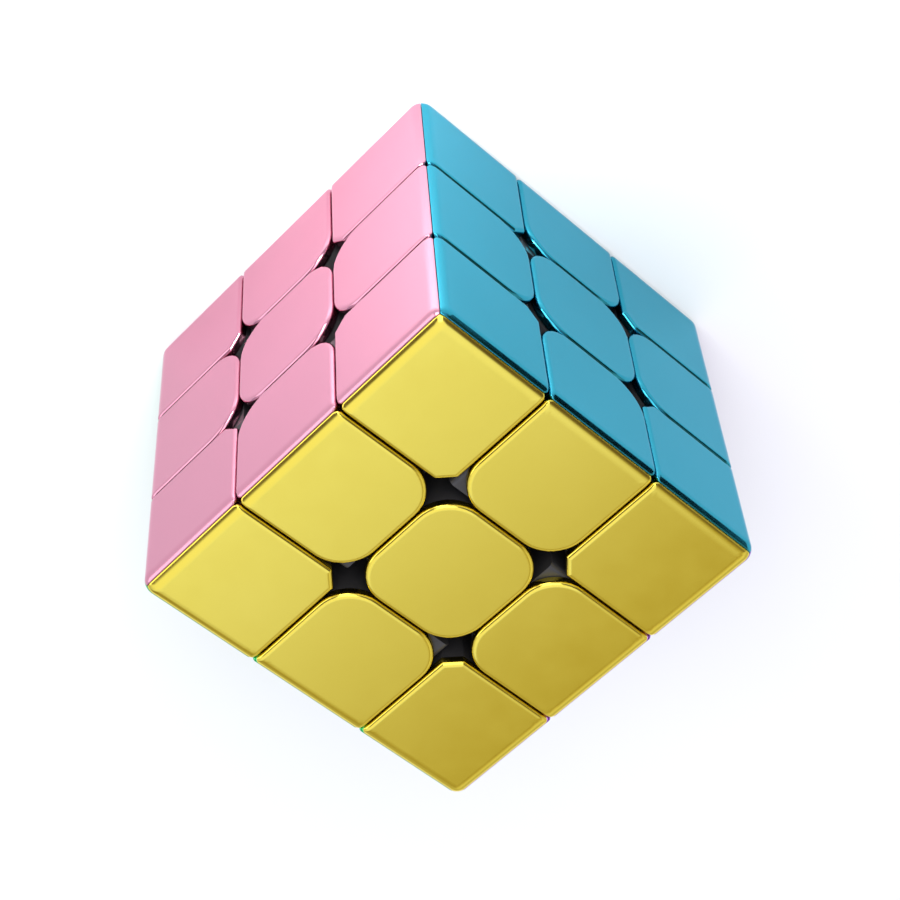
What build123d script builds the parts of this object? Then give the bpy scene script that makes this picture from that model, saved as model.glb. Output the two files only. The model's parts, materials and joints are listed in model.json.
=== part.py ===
"""Twisty puzzle cube, three small cubes along each side, with plated colour caps on black bases.

Millimetres. The origin is the middle of the cube, +Z goes to the up face, -Y to the front face
and +X to the right face. Every face can turn about its own axis, so each moving border between
a face's layer and the rest is a flat cut square to that axis, or a sphere about the middle:

- outside a sphere of radius FOOT_R the layers are parted by the outer cuts,
- between that sphere and CORE_R, by the inner cuts, so the feet of the edges and corners
  reach under their neighbours, which hold them in,
- inside CORE_R there are only the spider and the six centre stems.
"""

import os

from build123d import *

# Driving dimensions
SIDE = 57.0
LAYERS = 3
PITCH = SIDE / LAYERS
HALF = SIDE / 2
CUT = PITCH / 2

# Mechanism
INNER_CUT = 5.0
FOOT_R = 22.5
CORE_R = 17.0
SPHERE_CLEAR = 0.15
FOOT_CLEAR = 0.2
BASE_CLEAR = 0.3
WALL = 1.2

# Caps
CAP_T = 1.5
CAP_CLEAR = 0.2
MITRE_CLEAR = 0.05
ROUND_R = 5.5
NOTCH_R = 0.8
CORNER_CHAMFER = 2.1
CUBE_EDGE_R = 1.4
CAP_EDGE_R = 0.6
PEG_R = 1.2
PEG_LENGTH = 1.6
SOCKET_CLEAR = 0.05
SOCKET_EXTRA = 0.1
PEG_SIDE = 5.2

# Pockets that lighten the bases
POCKET = 4.2
RIB = 1.2
SIDE_POCKET_DEPTH = 5.2

# Spider, screws, springs and washers
HUB_R = 7.5
ARM_R = 3.9
ARM_END = 12.0
STEM_END = 12.3
STEM_FLOOR = 1.7
WELL_R = 2.8
PLUG_CLEAR = 0.1
SCREW_R = 1.1
SCREW_TIP = 5.8
THREAD_CLEAR = 0.02
BORE_CLEAR = 0.08
SCREW_HEAD_R = 2.3
SCREW_HEAD_H = 1.8
SLOT_W = 0.6
SLOT_L = 2.8
SLOT_DEPTH = 0.9
WASHER_R = 2.5
WASHER_HOLE_CLEAR = 0.1
WASHER_T = 0.5
SPRING_WIRE = 0.5
SPRING_R = 2.1
SPRING_TURNS = 4.5
SPRING_LENGTH = 5.0
SPRING_GAP = 0.05

BASE_TOP = HALF - CAP_T
FAR = SIDE
LOW = (Align.CENTER, Align.CENTER, Align.MIN)
FACES = {
    "up": Vector(0, 0, 1),
    "down": Vector(0, 0, -1),
    "front": Vector(0, -1, 0),
    "back": Vector(0, 1, 0),
    "right": Vector(1, 0, 0),
    "left": Vector(-1, 0, 0),
}
EDGES = [(a, b) for a in ("up", "down") for b in ("front", "back", "right", "left")]
EDGES += [(a, b) for a in ("front", "back") for b in ("right", "left")]
CORNERS = [(a, b, c) for a in ("up", "down") for b in ("front", "back") for c in ("right", "left")]


def span(x_low, x_high, y_low, y_high, z_low, z_high):
    """A box between the given planes."""
    box = Box(x_high - x_low, y_high - y_low, z_high - z_low)
    return Pos((x_low + x_high) / 2, (y_low + y_high) / 2, (z_low + z_high) / 2) * box


def rectangle(x_low, x_high, y_low, y_high):
    """A flat rectangle between the given lines."""
    return Pos((x_low + x_high) / 2, (y_low + y_high) / 2) * Rectangle(x_high - x_low, y_high - y_low)


def upright(radius, z_low, z_high):
    """A cylinder about the up face's axis, between two heights."""
    return Pos(0, 0, z_low) * Cylinder(radius, z_high - z_low, align=LOW)


def placed(shape, first, *others):
    """Carry a shape from the up face to another: +Z goes to the first face, +X to the second or third."""
    z_dir = FACES[first]
    if len(others) == 2 and z_dir.cross(FACES[others[0]]) != FACES[others[1]]:
        others = others[::-1]
    x_dir = FACES[others[0]] if others else Vector(z_dir.Y, z_dir.Z, z_dir.X)
    return Plane(origin=(0, 0, 0), x_dir=x_dir, z_dir=z_dir).location * shape


def prism(outline, z_low, z_high):
    """An outline on the up face, extruded between two heights."""
    return extrude(Pos(0, 0, z_low) * outline, z_high - z_low)


def shell(clear=SPHERE_CLEAR):
    """The hollow ball between the spider and the outer blocks, where the feet turn."""
    return Sphere(FOOT_R - clear) - Sphere(CORE_R)


def outer_space(clear=SPHERE_CLEAR):
    """Everything outside the ball that the feet turn in."""
    return Box(FAR, FAR, FAR + SIDE) - Sphere(FOOT_R + clear)


# Outlines, as seen on the up face, of the three kinds of small cube


def centre_outline(clear):
    """A square with four large round corners."""
    width = 2 * (CUT - clear)
    return RectangleRounded(width, width, ROUND_R)


def edge_outline(clear, outer=HALF):
    """A square with two large round corners towards the centre and two small ones at the cube's edge."""
    outline = rectangle(CUT + clear, outer, clear - CUT, CUT - clear)
    corners = outline.vertices().sort_by(Axis.X)
    outline = fillet(corners[:2], ROUND_R)
    return fillet(outline.vertices().sort_by(Axis.X)[-2:], NOTCH_R)


def corner_outline(clear, outer=HALF):
    """A square whose corner towards the centre is cut off straight."""
    outline = rectangle(CUT + clear, outer, CUT + clear, outer)
    inner = outline.vertices().sort_by(lambda v: v.X + v.Y)[0]
    return chamfer(inner, CORNER_CHAMFER)


# Turns that carry a cap or an outline from the up face to the other faces of its small cube

SWAP_XZ = Rot(0, 90, 0) * Rot(0, 0, 180)
CYCLE = Plane(origin=(0, 0, 0), x_dir=(0, 1, 0), z_dir=(1, 0, 0)).location
EDGE_SIDES = [Location(), SWAP_XZ]
CORNER_SIDES = [Location(), CYCLE, CYCLE * CYCLE]


def edge_block(clear, outer=BASE_TOP):
    """The outer block of an edge, between the up face and the right face."""
    sides = [side * prism(edge_outline(clear, outer), CUT + clear, outer) for side in EDGE_SIDES]
    return sides[0] & sides[1]


def corner_block(clear, outer=BASE_TOP):
    """The outer block of a corner, in the octant where X, Y and Z are positive."""
    sides = [side * prism(corner_outline(clear, outer), CUT + clear, outer) for side in CORNER_SIDES]
    return sides[0] & sides[1] & sides[2]


# Pockets, sockets and pegs


def cells(x_places, y_places):
    """A grid of square cells."""
    return Sketch() + [Pos(x, y) * Rectangle(POCKET, POCKET) for x in x_places for y in y_places]


def pockets(block, x_places, y_places, z_low=CUT):
    """Square pockets down from the up face, inside the walls of a block and clear of the ball."""
    return prism(cells(x_places, y_places), z_low, FAR) & block & outer_space(SPHERE_CLEAR + WALL)


def pegs(places, radius, length):
    """Round pegs that reach down from the underside of a cap on the up face."""
    peg = Cylinder(radius, length, align=(Align.CENTER, Align.CENTER, Align.MAX))
    return [Pos(x, y, BASE_TOP) * peg for x, y in places]


def sockets(places):
    """The holes that a cap's pegs plug into."""
    return pegs(places, PEG_R + SOCKET_CLEAR, PEG_LENGTH + SOCKET_EXTRA)


CELL_STEP = POCKET + RIB
FIRST_CELL = CUT + BASE_CLEAR + WALL + POCKET / 2
ROW = [FIRST_CELL, FIRST_CELL + CELL_STEP]
ACROSS = [-CELL_STEP, 0, CELL_STEP]
SIDE_FLOOR = BASE_TOP - SIDE_POCKET_DEPTH
STRIP = (SIDE_FLOOR + BASE_TOP) / 2
CENTRE_PEGS = [(PEG_SIDE, PEG_SIDE), (-PEG_SIDE, -PEG_SIDE)]
EDGE_PEGS = [(STRIP, PEG_SIDE), (STRIP, -PEG_SIDE)]
CORNER_PEGS = [(STRIP, ROW[0]), (ROW[0], STRIP)]
WELL_FLOOR = STEM_END + STEM_FLOOR


# Bases


def centre_base():
    """The black block under a centre cap, with the stem that turns on the spider's arm."""
    block = prism(centre_outline(BASE_CLEAR), CUT, BASE_TOP) & outer_space()
    stem = upright(INNER_CUT - FOOT_CLEAR, STEM_END, BASE_TOP)
    well = upright(WELL_R, WELL_FLOOR, FAR)
    bore = upright(SCREW_R + BORE_CLEAR, 0, FAR)
    return block + stem - well - bore - sockets(CENTRE_PEGS)


def edge_base():
    """The black block under an edge's two caps, with the foot that its centres hold down."""
    inside = edge_block(BASE_CLEAR + WALL, FAR)
    block = edge_block(BASE_CLEAR) & outer_space()
    block -= pockets(inside, ROW, ACROSS)
    block -= SWAP_XZ * pockets(inside, ROW, ACROSS, SIDE_FLOOR)
    for side in EDGE_SIDES:
        block -= [side * socket for socket in sockets(EDGE_PEGS)]
    half_width = INNER_CUT - FOOT_CLEAR
    foot_low = INNER_CUT + FOOT_CLEAR
    stalk_low = CUT + BASE_CLEAR
    foot = span(foot_low, FAR, -half_width, half_width, foot_low, FAR) & shell()
    stalk = span(stalk_low, BASE_TOP, -half_width, half_width, stalk_low, BASE_TOP)
    return block + (stalk & shell(-SPHERE_CLEAR - WALL)) + foot


def corner_base():
    """The black block under a corner's three caps, with the foot that its edges hold down."""
    inside = corner_block(BASE_CLEAR + WALL, FAR)
    block = corner_block(BASE_CLEAR)
    block -= pockets(inside, ROW, ROW)
    for side in CORNER_SIDES[1:]:
        block -= side * pockets(inside, ROW, ROW, SIDE_FLOOR)
    for side in CORNER_SIDES:
        block -= [side * socket for socket in sockets(CORNER_PEGS)]
    foot_low = INNER_CUT + FOOT_CLEAR
    return block + (span(foot_low, FAR, foot_low, FAR, foot_low, FAR) & shell())


# Caps


def mitre(x, y):
    """The side of a 45 degree plane, through the cube's edge, that the up face's cap keeps to."""
    slope = Plane(origin=(0, 0, 0), x_dir=(x, y, 1), z_dir=(-x, -y, 1))
    return slope.location * Pos(0, 0, MITRE_CLEAR) * Box(FAR * 2, FAR * 2, FAR, align=LOW)


def round_top(cap):
    """Round the edges of a cap's top face, apart from those that run into the cube's own round edge."""
    flat_end = HALF - CUBE_EDGE_R - CAP_EDGE_R / 10
    top = cap.faces().sort_by(Axis.Z)[-1]
    edges = [edge for edge in top.edges() if max(edge.center().X, edge.center().Y) < flat_end]
    return fillet(edges, CAP_EDGE_R)


def centre_cap():
    """A plated cap with a plug for the spring well and two pegs."""
    plate = round_top(prism(centre_outline(CAP_CLEAR), BASE_TOP, HALF))
    plug = upright(WELL_R - PLUG_CLEAR, BASE_TOP - PEG_LENGTH, BASE_TOP)
    return plate + plug + pegs(CENTRE_PEGS, PEG_R, PEG_LENGTH)


def edge_cap():
    """A plated cap whose outer side wraps round the cube's edge as far as the mitre."""
    plate = prism(edge_outline(CAP_CLEAR), BASE_TOP, HALF) & ROUND_CUBE & mitre(1, 0)
    return round_top(plate) + pegs(EDGE_PEGS, PEG_R, PEG_LENGTH)


def corner_cap():
    """A plated cap whose two outer sides wrap round the cube's edges as far as the mitres."""
    plate = prism(corner_outline(CAP_CLEAR), BASE_TOP, HALF) & ROUND_CUBE & mitre(1, 0) & mitre(0, 1)
    return round_top(plate) + pegs(CORNER_PEGS, PEG_R, PEG_LENGTH)


# Spider and fasteners


def core_spider():
    """A hub with one round arm towards each face, each with a hole for its screw."""
    arm = upright(ARM_R, 0, ARM_END)
    hole = upright(SCREW_R + THREAD_CLEAR, SCREW_TIP - WALL, FAR)
    spider = Sphere(HUB_R) + [placed(arm, face) for face in FACES]
    return spider - [placed(hole, face) for face in FACES]


def centre_screw():
    """A pan-head screw with a cross recess, through the washer, the spring and the stem's floor."""
    head_low = WASHER_LOW + WASHER_T
    head_top = head_low + SCREW_HEAD_H
    head = upright(SCREW_HEAD_R, head_low, head_top)
    head = fillet(head.edges().sort_by(Axis.Z)[-1], SCREW_HEAD_H / 2)
    slot = span(-SLOT_L / 2, SLOT_L / 2, -SLOT_W / 2, SLOT_W / 2, head_top - SLOT_DEPTH, FAR)
    tip = Pos(0, 0, SCREW_TIP) * Cone(SCREW_R / 2, SCREW_R, SCREW_R, align=LOW)
    shank = upright(SCREW_R, SCREW_TIP + SCREW_R, head_low)
    return tip + shank + head - slot - Rot(0, 0, 90) * slot


def centre_spring():
    """A compression spring of round wire that stands on the stem's floor."""
    rise = SPRING_LENGTH - SPRING_WIRE
    path = Pos(0, 0, WELL_FLOOR + SPRING_GAP + SPRING_WIRE / 2) * Helix(rise / SPRING_TURNS, rise, SPRING_R)
    wire = Plane(origin=path @ 0, z_dir=path % 0) * Circle(SPRING_WIRE / 2)
    return sweep(wire, path=path, is_frenet=True)


def centre_washer():
    """The washer between a spring and its screw's head."""
    disc = upright(WASHER_R, WASHER_LOW, WASHER_LOW + WASHER_T)
    return disc - upright(SCREW_R + WASHER_HOLE_CLEAR, 0, FAR)


WASHER_LOW = WELL_FLOOR + SPRING_GAP + SPRING_LENGTH + SPRING_GAP
ROUND_CUBE = fillet(Box(SIDE, SIDE, SIDE).edges(), CUBE_EDGE_R)


# Placing


def write(node, solids):
    """Write one node: a single solid, or a group of separate ones."""
    export_step(solids[0] if len(solids) == 1 else Compound(children=solids), f"parts/{node}.step")


def main():
    os.makedirs("parts", exist_ok=True)
    write("core_spider", [core_spider()])
    for node, shape in (
        ("centre_screws", centre_screw()),
        ("centre_springs", centre_spring()),
        ("centre_washers", centre_washer()),
    ):
        write(node, [placed(shape, face) for face in FACES])

    base = centre_base()
    cap = centre_cap()
    for face in FACES:
        write(f"centre_{face}_base", [placed(base, face)])
        write(f"centre_{face}_cap", [placed(cap, face)])

    base = edge_base()
    cap = edge_cap()
    for faces in EDGES:
        name = "_".join(faces)
        write(f"edge_{name}_base", [placed(base, *faces)])
        write(f"edge_{name}_caps", [placed(side * cap, *faces) for side in EDGE_SIDES])

    base = corner_base()
    cap = corner_cap()
    for faces in CORNERS:
        name = "_".join(faces)
        write(f"corner_{name}_base", [placed(base, *faces)])
        write(f"corner_{name}_caps", [placed(side * cap, *faces) for side in CORNER_SIDES])


main()
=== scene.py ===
import json
import math

import bmesh
import bpy
from mathutils import Matrix, Vector

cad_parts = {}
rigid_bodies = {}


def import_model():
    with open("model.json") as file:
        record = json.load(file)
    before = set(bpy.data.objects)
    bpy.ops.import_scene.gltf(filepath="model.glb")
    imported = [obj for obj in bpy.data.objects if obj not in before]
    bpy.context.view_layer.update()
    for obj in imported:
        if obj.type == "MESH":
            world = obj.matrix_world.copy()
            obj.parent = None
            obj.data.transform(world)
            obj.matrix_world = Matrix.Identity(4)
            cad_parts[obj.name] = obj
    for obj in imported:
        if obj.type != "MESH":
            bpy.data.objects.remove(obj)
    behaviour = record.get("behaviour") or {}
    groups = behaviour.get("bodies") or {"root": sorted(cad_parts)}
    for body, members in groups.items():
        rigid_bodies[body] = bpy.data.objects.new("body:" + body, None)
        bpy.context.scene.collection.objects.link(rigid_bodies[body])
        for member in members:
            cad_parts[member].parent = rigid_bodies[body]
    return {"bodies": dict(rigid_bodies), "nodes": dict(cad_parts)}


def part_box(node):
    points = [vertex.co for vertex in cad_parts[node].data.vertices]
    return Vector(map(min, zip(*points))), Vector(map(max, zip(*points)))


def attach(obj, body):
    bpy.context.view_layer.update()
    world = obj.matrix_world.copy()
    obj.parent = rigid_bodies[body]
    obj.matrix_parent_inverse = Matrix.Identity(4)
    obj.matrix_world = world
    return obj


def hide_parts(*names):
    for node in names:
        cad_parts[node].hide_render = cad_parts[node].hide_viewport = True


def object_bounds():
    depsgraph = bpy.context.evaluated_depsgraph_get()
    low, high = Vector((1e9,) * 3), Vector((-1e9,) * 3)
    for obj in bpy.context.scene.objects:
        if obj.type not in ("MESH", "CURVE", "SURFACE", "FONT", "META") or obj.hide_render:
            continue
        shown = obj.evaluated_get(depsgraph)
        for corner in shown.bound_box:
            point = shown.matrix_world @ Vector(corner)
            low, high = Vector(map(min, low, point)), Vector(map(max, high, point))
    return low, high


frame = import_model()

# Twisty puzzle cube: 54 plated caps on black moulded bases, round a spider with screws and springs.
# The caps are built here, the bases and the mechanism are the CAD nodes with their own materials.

cad_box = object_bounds()

MM = 0.001
HALF = cad_box[1][2]
FLOOR_Z = cad_box[0][2]

# Cap sizes. The outline starts from the CAD caps' boxes, and the plated skin stands a little proud of their
# sides, in the grooves
SKIN = 0.07 * MM
CENTRE_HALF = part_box("centre_up_cap")[1][0] + SKIN
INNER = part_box("corner_up_front_right_caps")[0][0] - SKIN
CAP_T = 1.35 * MM
CUBE_EDGE_R = 2.1 * MM
CAP_EDGE_R = 0.6 * MM
MITRE_EDGE_R = 0.09 * MM
MITRE_GAP = 0.03 * MM
ROUND_R = 5.5 * MM
NOTCH_R = 0.8 * MM
CHAMFER = 2.1 * MM
CHAMFER_R = 0.5 * MM
VERTEX_R = 0.12 * MM
MIN_R = 0.02 * MM

# The cap skin is drawn unrolled: past BEND it wraps round the cube's edge as far as the 45 degree mitre
BEND = HALF - CUBE_EDGE_R
OUTER = BEND + CUBE_EDGE_R * math.pi / 4 - MITRE_GAP

# How finely the caps are made: steps round a corner, steps along a side from each of its ends, rows over the
# rounded edge, and rows on the flat beside it
ARC_STEPS = 10
END_STEPS = (0.12 * MM, 0.26 * MM, 0.5 * MM, 1.1 * MM)
EDGE_STEPS = 6
FLAT_INSETS = (0.75 * MM, 0.9 * MM, 1.04 * MM, 1.3 * MM, 1.8 * MM)

FACES = {
    "up": Vector((0, 0, 1)),
    "down": Vector((0, 0, -1)),
    "front": Vector((0, -1, 0)),
    "back": Vector((0, 1, 0)),
    "right": Vector((1, 0, 0)),
    "left": Vector((-1, 0, 0)),
}


# Materials


def new_material(name):
    """A material with a bare Principled shader, its node tree and the shader."""
    material = bpy.data.materials.new(name)
    material.use_nodes = True
    tree = material.node_tree
    return material, tree, tree.nodes["Principled BSDF"]


def noise(tree, scale, detail=2.0, roughness=0.5, stretch=None):
    """Noise in the object's own metres, so that scale is in waves per metre."""
    place = tree.nodes.new("ShaderNodeTexCoord")
    source = place.outputs["Object"]
    if stretch:
        mapping = tree.nodes.new("ShaderNodeMapping")
        mapping.inputs["Scale"].default_value = stretch
        tree.links.new(source, mapping.inputs["Vector"])
        source = mapping.outputs["Vector"]
    node = tree.nodes.new("ShaderNodeTexNoise")
    node.inputs["Scale"].default_value = scale
    node.inputs["Detail"].default_value = detail
    node.inputs["Roughness"].default_value = roughness
    tree.links.new(source, node.inputs["Vector"])
    return node.outputs["Fac"]


def spread(tree, value, low, high, start=0.3, end=0.7):
    """Map a noise value onto a range."""
    node = tree.nodes.new("ShaderNodeMapRange")
    node.inputs["From Min"].default_value = start
    node.inputs["From Max"].default_value = end
    node.inputs["To Min"].default_value = low
    node.inputs["To Max"].default_value = high
    tree.links.new(value, node.inputs["Value"])
    return node.outputs["Result"]


def blend_colours(tree, value, dark, light):
    """A colour between two, by a value."""
    node = tree.nodes.new("ShaderNodeMix")
    node.data_type = "RGBA"
    node.inputs["A"].default_value = (*dark, 1)
    node.inputs["B"].default_value = (*light, 1)
    tree.links.new(value, node.inputs["Factor"])
    return node.outputs["Result"]


def bump(tree, shader, value, strength, distance):
    """Raise the surface by a value."""
    node = tree.nodes.new("ShaderNodeBump")
    node.inputs["Strength"].default_value = strength
    node.inputs["Distance"].default_value = distance
    tree.links.new(value, node.inputs["Height"])
    tree.links.new(node.outputs["Normal"], shader.inputs["Normal"])


def plated(name, light, dark, edge, roughness=0.16):
    """Tinted vacuum plating on a polished moulding: a soft mirror with faint orange peel and haze."""
    material, tree, shader = new_material(name)
    shader.inputs["Metallic"].default_value = 1.0
    shader.inputs["Specular Tint"].default_value = (*edge, 1)
    shader.inputs["Coat Weight"].default_value = 0.15
    shader.inputs["Coat Roughness"].default_value = 0.06
    tone = noise(tree, 60, detail=3)
    tree.links.new(blend_colours(tree, spread(tree, tone, 0, 1), dark, light), shader.inputs["Base Color"])
    haze = noise(tree, 220, detail=5, roughness=0.6)
    tree.links.new(spread(tree, haze, roughness * 0.85, roughness * 1.2), shader.inputs["Roughness"])
    bump(tree, shader, noise(tree, 900, detail=2), 0.05, 0.02 * MM)
    return material


def moulded(name, light, dark, rough_low, rough_high, grain):
    """Moulded plastic: a little uneven in gloss, with a fine grain and faint flow marks."""
    material, tree, shader = new_material(name)
    shader.inputs["Specular IOR Level"].default_value = 0.5
    tone = noise(tree, 300, detail=4)
    tree.links.new(blend_colours(tree, spread(tree, tone, 0, 1), dark, light), shader.inputs["Base Color"])
    flow = noise(tree, 120, detail=4, roughness=0.65, stretch=(1.0, 1.0, 3.5))
    tree.links.new(spread(tree, flow, rough_low, rough_high), shader.inputs["Roughness"])
    bump(tree, shader, noise(tree, 2600, detail=3), grain, 0.03 * MM)
    return material


def zinc(name):
    """Zinc-plated steel: drawn or turned marks, and clouded in places."""
    material, tree, shader = new_material(name)
    shader.inputs["Metallic"].default_value = 1.0
    tone = noise(tree, 500, detail=4)
    colour = blend_colours(tree, spread(tree, tone, 0, 1), (0.42, 0.42, 0.43), (0.66, 0.66, 0.68))
    tree.links.new(colour, shader.inputs["Base Color"])
    marks = noise(tree, 900, detail=4, roughness=0.7, stretch=(1.0, 1.0, 6.0))
    tree.links.new(spread(tree, marks, 0.22, 0.42), shader.inputs["Roughness"])
    bump(tree, shader, marks, 0.12, 0.02 * MM)
    return material


PLATING = {
    "up": plated("gold_plating", (0.84, 0.675, 0.09), (0.82, 0.655, 0.080), (1.0, 0.92, 0.62)),
    "down": plated("silver_plating", (0.58, 0.59, 0.61), (0.54, 0.55, 0.57), (1.0, 1.0, 1.0)),
    "front": plated("blue_plating", (0.030, 0.315, 0.425), (0.025, 0.30, 0.405), (0.55, 0.8, 0.9)),
    "back": plated("green_plating", (0.06, 0.46, 0.17), (0.05, 0.44, 0.15), (0.6, 0.9, 0.7)),
    "right": plated("pink_plating", (0.57, 0.252, 0.335), (0.55, 0.24, 0.32), (1.0, 0.8, 0.88)),
    "left": plated("purple_plating", (0.30, 0.12, 0.52), (0.28, 0.11, 0.49), (0.8, 0.6, 0.95)),
}
BLACK = moulded("black_moulding", (0.045, 0.043, 0.045), (0.032, 0.031, 0.033), 0.34, 0.46, 0.10)
CORE_WHITE = moulded("core_moulding", (0.60, 0.59, 0.55), (0.54, 0.53, 0.50), 0.35, 0.5, 0.25)
STEEL = zinc("zinc_steel")


# Caps


def outline(kind):
    """Corners of an unrolled cap outline, anticlockwise: place, radius, and which side follows."""
    groove, mitre = CAP_EDGE_R, MITRE_EDGE_R
    if kind == "centre":
        c = CENTRE_HALF
        return [((x, y), ROUND_R, groove) for x, y in ((-c, -c), (c, -c), (c, c), (-c, c))]
    if kind == "edge":
        c = CENTRE_HALF
        return [
            ((INNER, -c), ROUND_R, groove),
            ((OUTER, -c), NOTCH_R, mitre),
            ((OUTER, c), NOTCH_R, groove),
            ((INNER, c), ROUND_R, groove),
        ]
    cut = INNER + CHAMFER
    return [
        ((cut, INNER), CHAMFER_R, groove),
        ((OUTER, INNER), NOTCH_R, mitre),
        ((OUTER, OUTER), VERTEX_R, mitre),
        ((INNER, OUTER), NOTCH_R, groove),
        ((INNER, cut), CHAMFER_R, groove),
    ]


def ring(corners, inset):
    """Points of an outline moved inwards by inset, each with the edge radius that its side has."""
    count = len(corners)
    places = [Vector(corner[0]) for corner in corners]
    normals = []
    for i in range(count):
        along = (places[(i + 1) % count] - places[i]).normalized()
        normals.append(Vector((along.y, -along.x)))
    arcs = []
    for i, (_, radius, after) in enumerate(corners):
        before = corners[i - 1][2]
        n_in, n_out = normals[i - 1], normals[i]
        left = max(radius - inset, MIN_R)
        centre = places[i] - (n_in + n_out) * ((inset + left) / (1 + n_in.dot(n_out)))
        turn = n_in.angle_signed(n_out)
        arc = []
        for k in range(ARC_STEPS + 1):
            share = k / ARC_STEPS
            angle = -turn * share
            normal = Vector((n_in.x * math.cos(angle) - n_in.y * math.sin(angle),
                             n_in.x * math.sin(angle) + n_in.y * math.cos(angle)))
            arc.append((centre + normal * left, before + (after - before) * share))
        arcs.append(arc)
    points = []
    for i, arc in enumerate(arcs):
        points += arc
        start, radius = arc[-1]
        end = arcs[(i + 1) % count][0][0]
        length = (end - start).length
        along = (end - start) / length
        reach = min(1.0, 0.4 * length / END_STEPS[-1])
        steps = [s * reach for s in END_STEPS] + [length - s * reach for s in reversed(END_STEPS)]
        points += [(start + along * s, radius) for s in steps]
    return points


def wrap(u, v, depth):
    """Carry a point of the unrolled skin, at a depth below it, onto the up face and round its edges."""
    direction = Vector((
        math.tan(max(0.0, u - BEND) / CUBE_EDGE_R),
        math.tan(max(0.0, v - BEND) / CUBE_EDGE_R),
        1.0,
    )).normalized()
    foot = Vector((min(u, BEND), min(v, BEND), BEND))
    return foot + direction * (CUBE_EDGE_R - depth)


def drop(radius, inset):
    """How far a rounded edge lies below the skin at an inset from its side."""
    if inset >= radius:
        return 0.0
    return radius - math.sqrt(radius ** 2 - (radius - inset) ** 2)


def cap_mesh(kind):
    """The closed mesh of one cap on the up face, in metres."""
    corners = outline(kind)
    swings = [CAP_EDGE_R * (1 - math.cos(math.pi / 2 * k / EDGE_STEPS)) for k in range(EDGE_STEPS + 1)]
    mesh = bmesh.new()
    rows = [[mesh.verts.new(wrap(p.x, p.y, CAP_T)) for p, _ in ring(corners, 0)]]
    for inset in [*swings, *FLAT_INSETS]:
        points = ring(corners, inset)
        rows.append([mesh.verts.new(wrap(p.x, p.y, drop(radius, inset))) for p, radius in points])
    count = len(rows[0])
    for lower, upper in zip(rows, rows[1:]):
        for i in range(count):
            j = (i + 1) % count
            mesh.faces.new((lower[i], lower[j], upper[j], upper[i]))
    mesh.faces.new(rows[-1])
    mesh.faces.new(rows[0][::-1])
    bmesh.ops.recalc_face_normals(mesh, faces=mesh.faces)
    for face in mesh.faces:
        face.smooth = True
    for edge in mesh.edges:
        edge.smooth = not (edge.verts[0] in rows[0] and edge.verts[1] in rows[0])
    data = bpy.data.meshes.new(f"{kind}_cap")
    mesh.to_mesh(data)
    mesh.free()
    return data


def turned(face, *sides):
    """The turn that carries the up face to a face, with +X and +Y towards the sides of its cap."""
    z = FACES[face]
    if len(sides) == 2 and z.cross(FACES[sides[0]]).dot(FACES[sides[1]]) < 0:
        sides = sides[::-1]
    x = FACES[sides[0]] if sides else Vector((z.y, z.z, z.x))
    y = z.cross(x)
    return Matrix((x, y, z)).transposed().to_4x4()


def add_cap(name, shape, material, turn):
    """Add one cap as an object at the origin, with its place in its mesh."""
    data = shape.copy()
    data.transform(turn)
    data.materials.append(material)
    cap = bpy.data.objects.new(name, data)
    bpy.context.collection.objects.link(cap)
    weighted = cap.modifiers.new("even_normals", "WEIGHTED_NORMAL")
    weighted.keep_sharp = True
    weighted.mode = "FACE_AREA"
    return cap


SHAPES = {kind: cap_mesh(kind) for kind in ("centre", "edge", "corner")}


def add_caps(body):
    """Put a body's coloured caps on it, in place of its CAD caps."""
    kind, *faces = body.split("_")
    node = f"{body}_cap" if kind == "centre" else f"{body}_caps"
    for face in faces:
        others = [f for f in faces if f != face]
        cap = add_cap(f"{body}_{face}_plate", SHAPES[kind], PLATING[face], turned(face, *others))
        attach(cap, body)
        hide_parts(node)


for body in frame["bodies"]:
    if body != "core":
        add_caps(body)


# CAD nodes that stay: bases, spider and fasteners


def finish_node(node, material):
    """Give a CAD node its material."""
    node.data.materials.clear()
    node.data.materials.append(material)


for name, node in frame["nodes"].items():
    if name.endswith("_base"):
        finish_node(node, BLACK)
    elif name == "core_spider":
        finish_node(node, CORE_WHITE)
    elif name.startswith("centre_s") or name.startswith("centre_w"):
        finish_node(node, STEEL)


# Floor, light and camera


FLOOR_HALF = 6.0
FLOOR_GAP = 0.02 * MM


def add_floor():
    """A plain pale floor, a hair's breadth under the cube."""
    data = bpy.data.meshes.new("floor")
    z = FLOOR_Z - FLOOR_GAP
    corners = [
        (-FLOOR_HALF, -FLOOR_HALF, z),
        (FLOOR_HALF, -FLOOR_HALF, z),
        (FLOOR_HALF, FLOOR_HALF, z),
        (-FLOOR_HALF, FLOOR_HALF, z),
    ]
    data.from_pydata(corners, [], [(0, 1, 2, 3)])
    material, tree, shader = new_material("floor_paint")
    tone = spread(tree, noise(tree, 3, detail=2), 0, 1)
    paint = blend_colours(tree, tone, (0.89, 0.89, 0.88), (0.91, 0.91, 0.90))
    tree.links.new(paint, shader.inputs["Base Color"])
    shader.inputs["Roughness"].default_value = 0.9
    shader.inputs["Specular IOR Level"].default_value = 0.1
    data.materials.append(material)
    floor = bpy.data.objects.new("floor", data)
    bpy.context.collection.objects.link(floor)


def add_light(name, place, size, power, target):
    """A soft rectangular light that faces the target."""
    data = bpy.data.lights.new(name, "AREA")
    data.shape = "RECTANGLE"
    data.size, data.size_y = size
    data.energy = power
    lamp = bpy.data.objects.new(name, data)
    lamp.location = place
    lamp.rotation_euler = (Vector(target) - Vector(place)).to_track_quat("-Z", "Y").to_euler()
    bpy.context.collection.objects.link(lamp)


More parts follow.
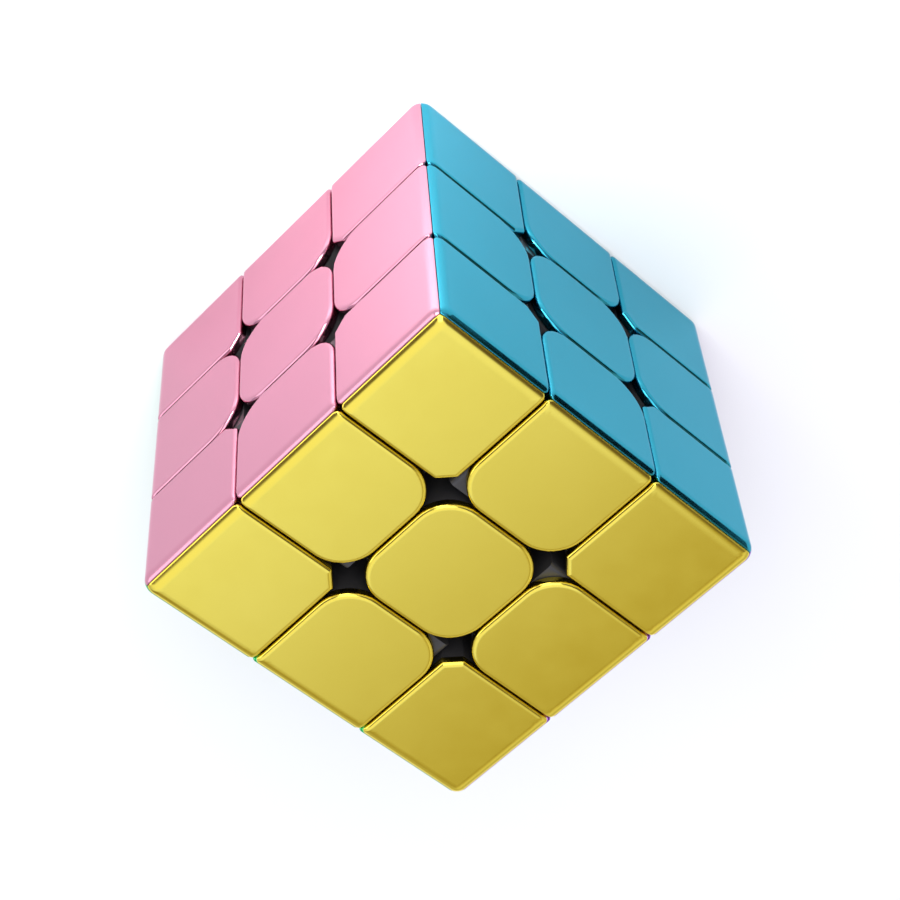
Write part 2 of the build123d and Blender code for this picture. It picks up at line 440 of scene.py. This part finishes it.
def add_flag(name, corners):
    """A black card that darkens what the plated edges mirror, out of the camera's sight."""
    data = bpy.data.meshes.new(name)
    data.from_pydata(corners, [], [(0, 1, 2, 3)])
    material, tree, shader = new_material(f"{name}_card")
    tone = spread(tree, noise(tree, 40), 0, 1)
    cloth = blend_colours(tree, tone, (0.004, 0.004, 0.005), (0.008, 0.008, 0.010))
    tree.links.new(cloth, shader.inputs["Base Color"])
    shader.inputs["Roughness"].default_value = 0.9
    shader.inputs["Specular IOR Level"].default_value = 0.0
    data.materials.append(material)
    flag = bpy.data.objects.new(name, data)
    flag.visible_camera = False
    flag.visible_diffuse = False
    flag.visible_shadow = False
    bpy.context.collection.objects.link(flag)


def ramp(tree, value, stops):
    """Colours at places along a value, each a place and its red, green and blue."""
    node = tree.nodes.new("ShaderNodeValToRGB")
    elements = node.color_ramp.elements
    elements[0].position, elements[1].position = stops[0][0], stops[-1][0]
    elements[0].color, elements[1].color = (*stops[0][1:], 1), (*stops[-1][1:], 1)
    for position, *colour in stops[1:-1]:
        elements.new(position).color = (*colour, 1)
    tree.links.new(value, node.inputs["Fac"])
    return node.outputs["Color"]


def toward(tree, vector, direction):
    """How far a direction points along another."""
    node = tree.nodes.new("ShaderNodeVectorMath")
    node.operation = "DOT_PRODUCT"
    node.inputs[1].default_value = direction
    tree.links.new(vector, node.inputs[0])
    return node.outputs["Value"]


def product(tree, first, second):
    """Two values multiplied."""
    node = tree.nodes.new("ShaderNodeMath")
    node.operation = "MULTIPLY"
    tree.links.new(first, node.inputs[0])
    tree.links.new(second, node.inputs[1])
    return node.outputs["Value"]


# Surroundings. Levels go by height, from the horizon up, and the fall by place along its direction. The belt
# is what the plating mirrors above the near side.
CEILING_LEVELS = (
    (0.0, 0.62, 0.62, 0.62),
    (0.12, 0.60, 0.60, 0.60),
    (0.30, 0.70, 0.70, 0.70),
    (0.60, 1.0, 1.0, 1.0),
    (1.0, 1.15, 1.15, 1.15),
)
FALL_DIRECTION = (0.8, 0, 0.5)
FALL_START = -0.35
FALL_END = 0.25
FALL_COLOURS = (
    (0.0, 0.95, 0.93, 0.85),
    (0.22, 0.80, 0.76, 0.62),
    (0.42, 0.39, 0.32, 0.12),
    (0.53, 0.51, 0.45, 0.22),
    (0.76, 1.00, 1.10, 1.60),
    (1.0, 1.05, 1.08, 1.20),
)
BELT_WINDOW = (
    (0.44, 0.0, 0.0, 0.0),
    (0.53, 1.0, 1.0, 1.0),
    (0.78, 1.0, 1.0, 1.0),
    (0.86, 0.0, 0.0, 0.0),
)
BELT_DIRECTION = (1, -1, 0)
BELT_START = -0.1
BELT_END = 0.1
BELT_DEPTH = 0.94
BELT_COLOUR = (0.08, 0.05, 0.05, 1)
BACKDROP = (0.95, 0.95, 0.95, 1)


def add_world():
    """Studio surroundings, which the camera itself sees as a plain backdrop.

    The ceiling falls off across the cube. Mirrored rays also meet a dark belt above the near side.
    """
    world = bpy.data.worlds.new("studio")
    bpy.context.scene.world = world
    world.use_nodes = True
    tree = world.node_tree
    back = tree.nodes["Background"]
    place = tree.nodes.new("ShaderNodeTexCoord").outputs["Generated"]
    path = tree.nodes.new("ShaderNodeLightPath")
    up = toward(tree, place, (0, 0, 1))
    across = toward(tree, place, FALL_DIRECTION)

    ceiling = tree.nodes.new("ShaderNodeMix")
    ceiling.data_type = "RGBA"
    ceiling.blend_type = "MULTIPLY"
    ceiling.inputs["Factor"].default_value = 1.0
    tree.links.new(ramp(tree, up, CEILING_LEVELS), ceiling.inputs["A"])
    fall = spread(tree, across, 0, 1, FALL_START, FALL_END)
    tree.links.new(ramp(tree, fall, FALL_COLOURS), ceiling.inputs["B"])

    near = spread(tree, toward(tree, place, BELT_DIRECTION), 0, BELT_DEPTH, BELT_START, BELT_END)
    belt = product(tree, ramp(tree, up, BELT_WINDOW), near)
    shaded = tree.nodes.new("ShaderNodeMix")
    shaded.data_type = "RGBA"
    tree.links.new(product(tree, belt, path.outputs["Is Glossy Ray"]), shaded.inputs["Factor"])
    tree.links.new(ceiling.outputs["Result"], shaded.inputs["A"])
    shaded.inputs["B"].default_value = BELT_COLOUR
    tree.links.new(shaded.outputs["Result"], back.inputs["Color"])

    plain = tree.nodes.new("ShaderNodeBackground")
    plain.inputs["Color"].default_value = BACKDROP
    mix = tree.nodes.new("ShaderNodeMixShader")
    tree.links.new(path.outputs["Is Camera Ray"], mix.inputs["Fac"])
    tree.links.new(back.outputs["Background"], mix.inputs[1])
    tree.links.new(plain.outputs["Background"], mix.inputs[2])
    tree.links.new(mix.outputs["Shader"], tree.nodes["World Output"].inputs["Surface"])


# Camera: angles in degrees, lens in millimetres
CAMERA_AZIMUTH = 47.6
CAMERA_ELEVATION = 54.69
CAMERA_DISTANCE = 333.3 * MM
CAMERA_ROLL = 174.81
CAMERA_AIM = Vector((-1.3, -0.8, 0.3)) * MM
CAMERA_LENS = 96.07


def add_camera():
    """The camera looks down on the near corner, rolled so that the up face is at the picture's foot."""
    azimuth = math.radians(CAMERA_AZIMUTH)
    elevation = math.radians(CAMERA_ELEVATION)
    away = Vector((
        math.cos(elevation) * math.sin(azimuth),
        -math.cos(elevation) * math.cos(azimuth),
        math.sin(elevation),
    ))
    data = bpy.data.cameras.new("camera")
    data.lens = CAMERA_LENS
    data.sensor_width = 36.0
    data.clip_start = 0.01
    camera = bpy.data.objects.new("camera", data)
    turn = away.to_track_quat("Z", "Y").to_matrix().to_4x4()
    turn = turn @ Matrix.Rotation(math.radians(CAMERA_ROLL), 4, "Z")
    camera.matrix_world = Matrix.Translation(CAMERA_AIM + away * CAMERA_DISTANCE) @ turn
    bpy.context.collection.objects.link(camera)
    bpy.context.scene.camera = camera


# Lights: place and size in metres, power in watts, and target. The two small ones brighten the floor by the
# near corner.
SOFTBOX = ((0.9, -0.9, 1.3), (1.2, 1.2), 10.0, (0, 0, 0))
NEAR_FILL = ((0.11, -0.075, 0.045), (0.06, 0.06), 0.045, (0.055, -0.04, -0.03))
CORNER_POOL = ((0.066, -0.038, 0.012), (0.02, 0.02), 0.034, (0.064, -0.036, -0.03))
RIGHT_CARD = ((0.6, 0.25, 0.16), (0.7, 0.34), 1.3, (0, 0, 0))

# Two black cards, one upright and one on the floor before it, where the gold and blue edge mirrors them
FLAG_Y = -0.6
FLAG_LEFT = -0.42
FLAG_RIGHT = -0.20
FLAG_TOP = 0.24
FLAG_NEAR_Y = -0.15
FLAG_NEAR_LEFT = -0.112
FLAG_NEAR_RIGHT = -0.027

add_floor()
add_world()
add_light("softbox", *SOFTBOX)
add_light("near_fill", *NEAR_FILL)
add_light("corner_pool", *CORNER_POOL)
add_light("right_card", *RIGHT_CARD)
add_flag("upright_flag", [
    (FLAG_LEFT, FLAG_Y, FLOOR_Z),
    (FLAG_RIGHT, FLAG_Y, FLOOR_Z),
    (FLAG_RIGHT, FLAG_Y, FLAG_TOP),
    (FLAG_LEFT, FLAG_Y, FLAG_TOP),
])
add_flag("floor_flag", [
    (FLAG_NEAR_LEFT, FLAG_NEAR_Y, FLOOR_Z),
    (FLAG_NEAR_RIGHT, FLAG_NEAR_Y, FLOOR_Z),
    (FLAG_RIGHT, FLAG_Y, FLOOR_Z),
    (FLAG_LEFT, FLAG_Y, FLOOR_Z),
])
add_camera()
bpy.context.scene.view_settings.view_transform = "Standard"
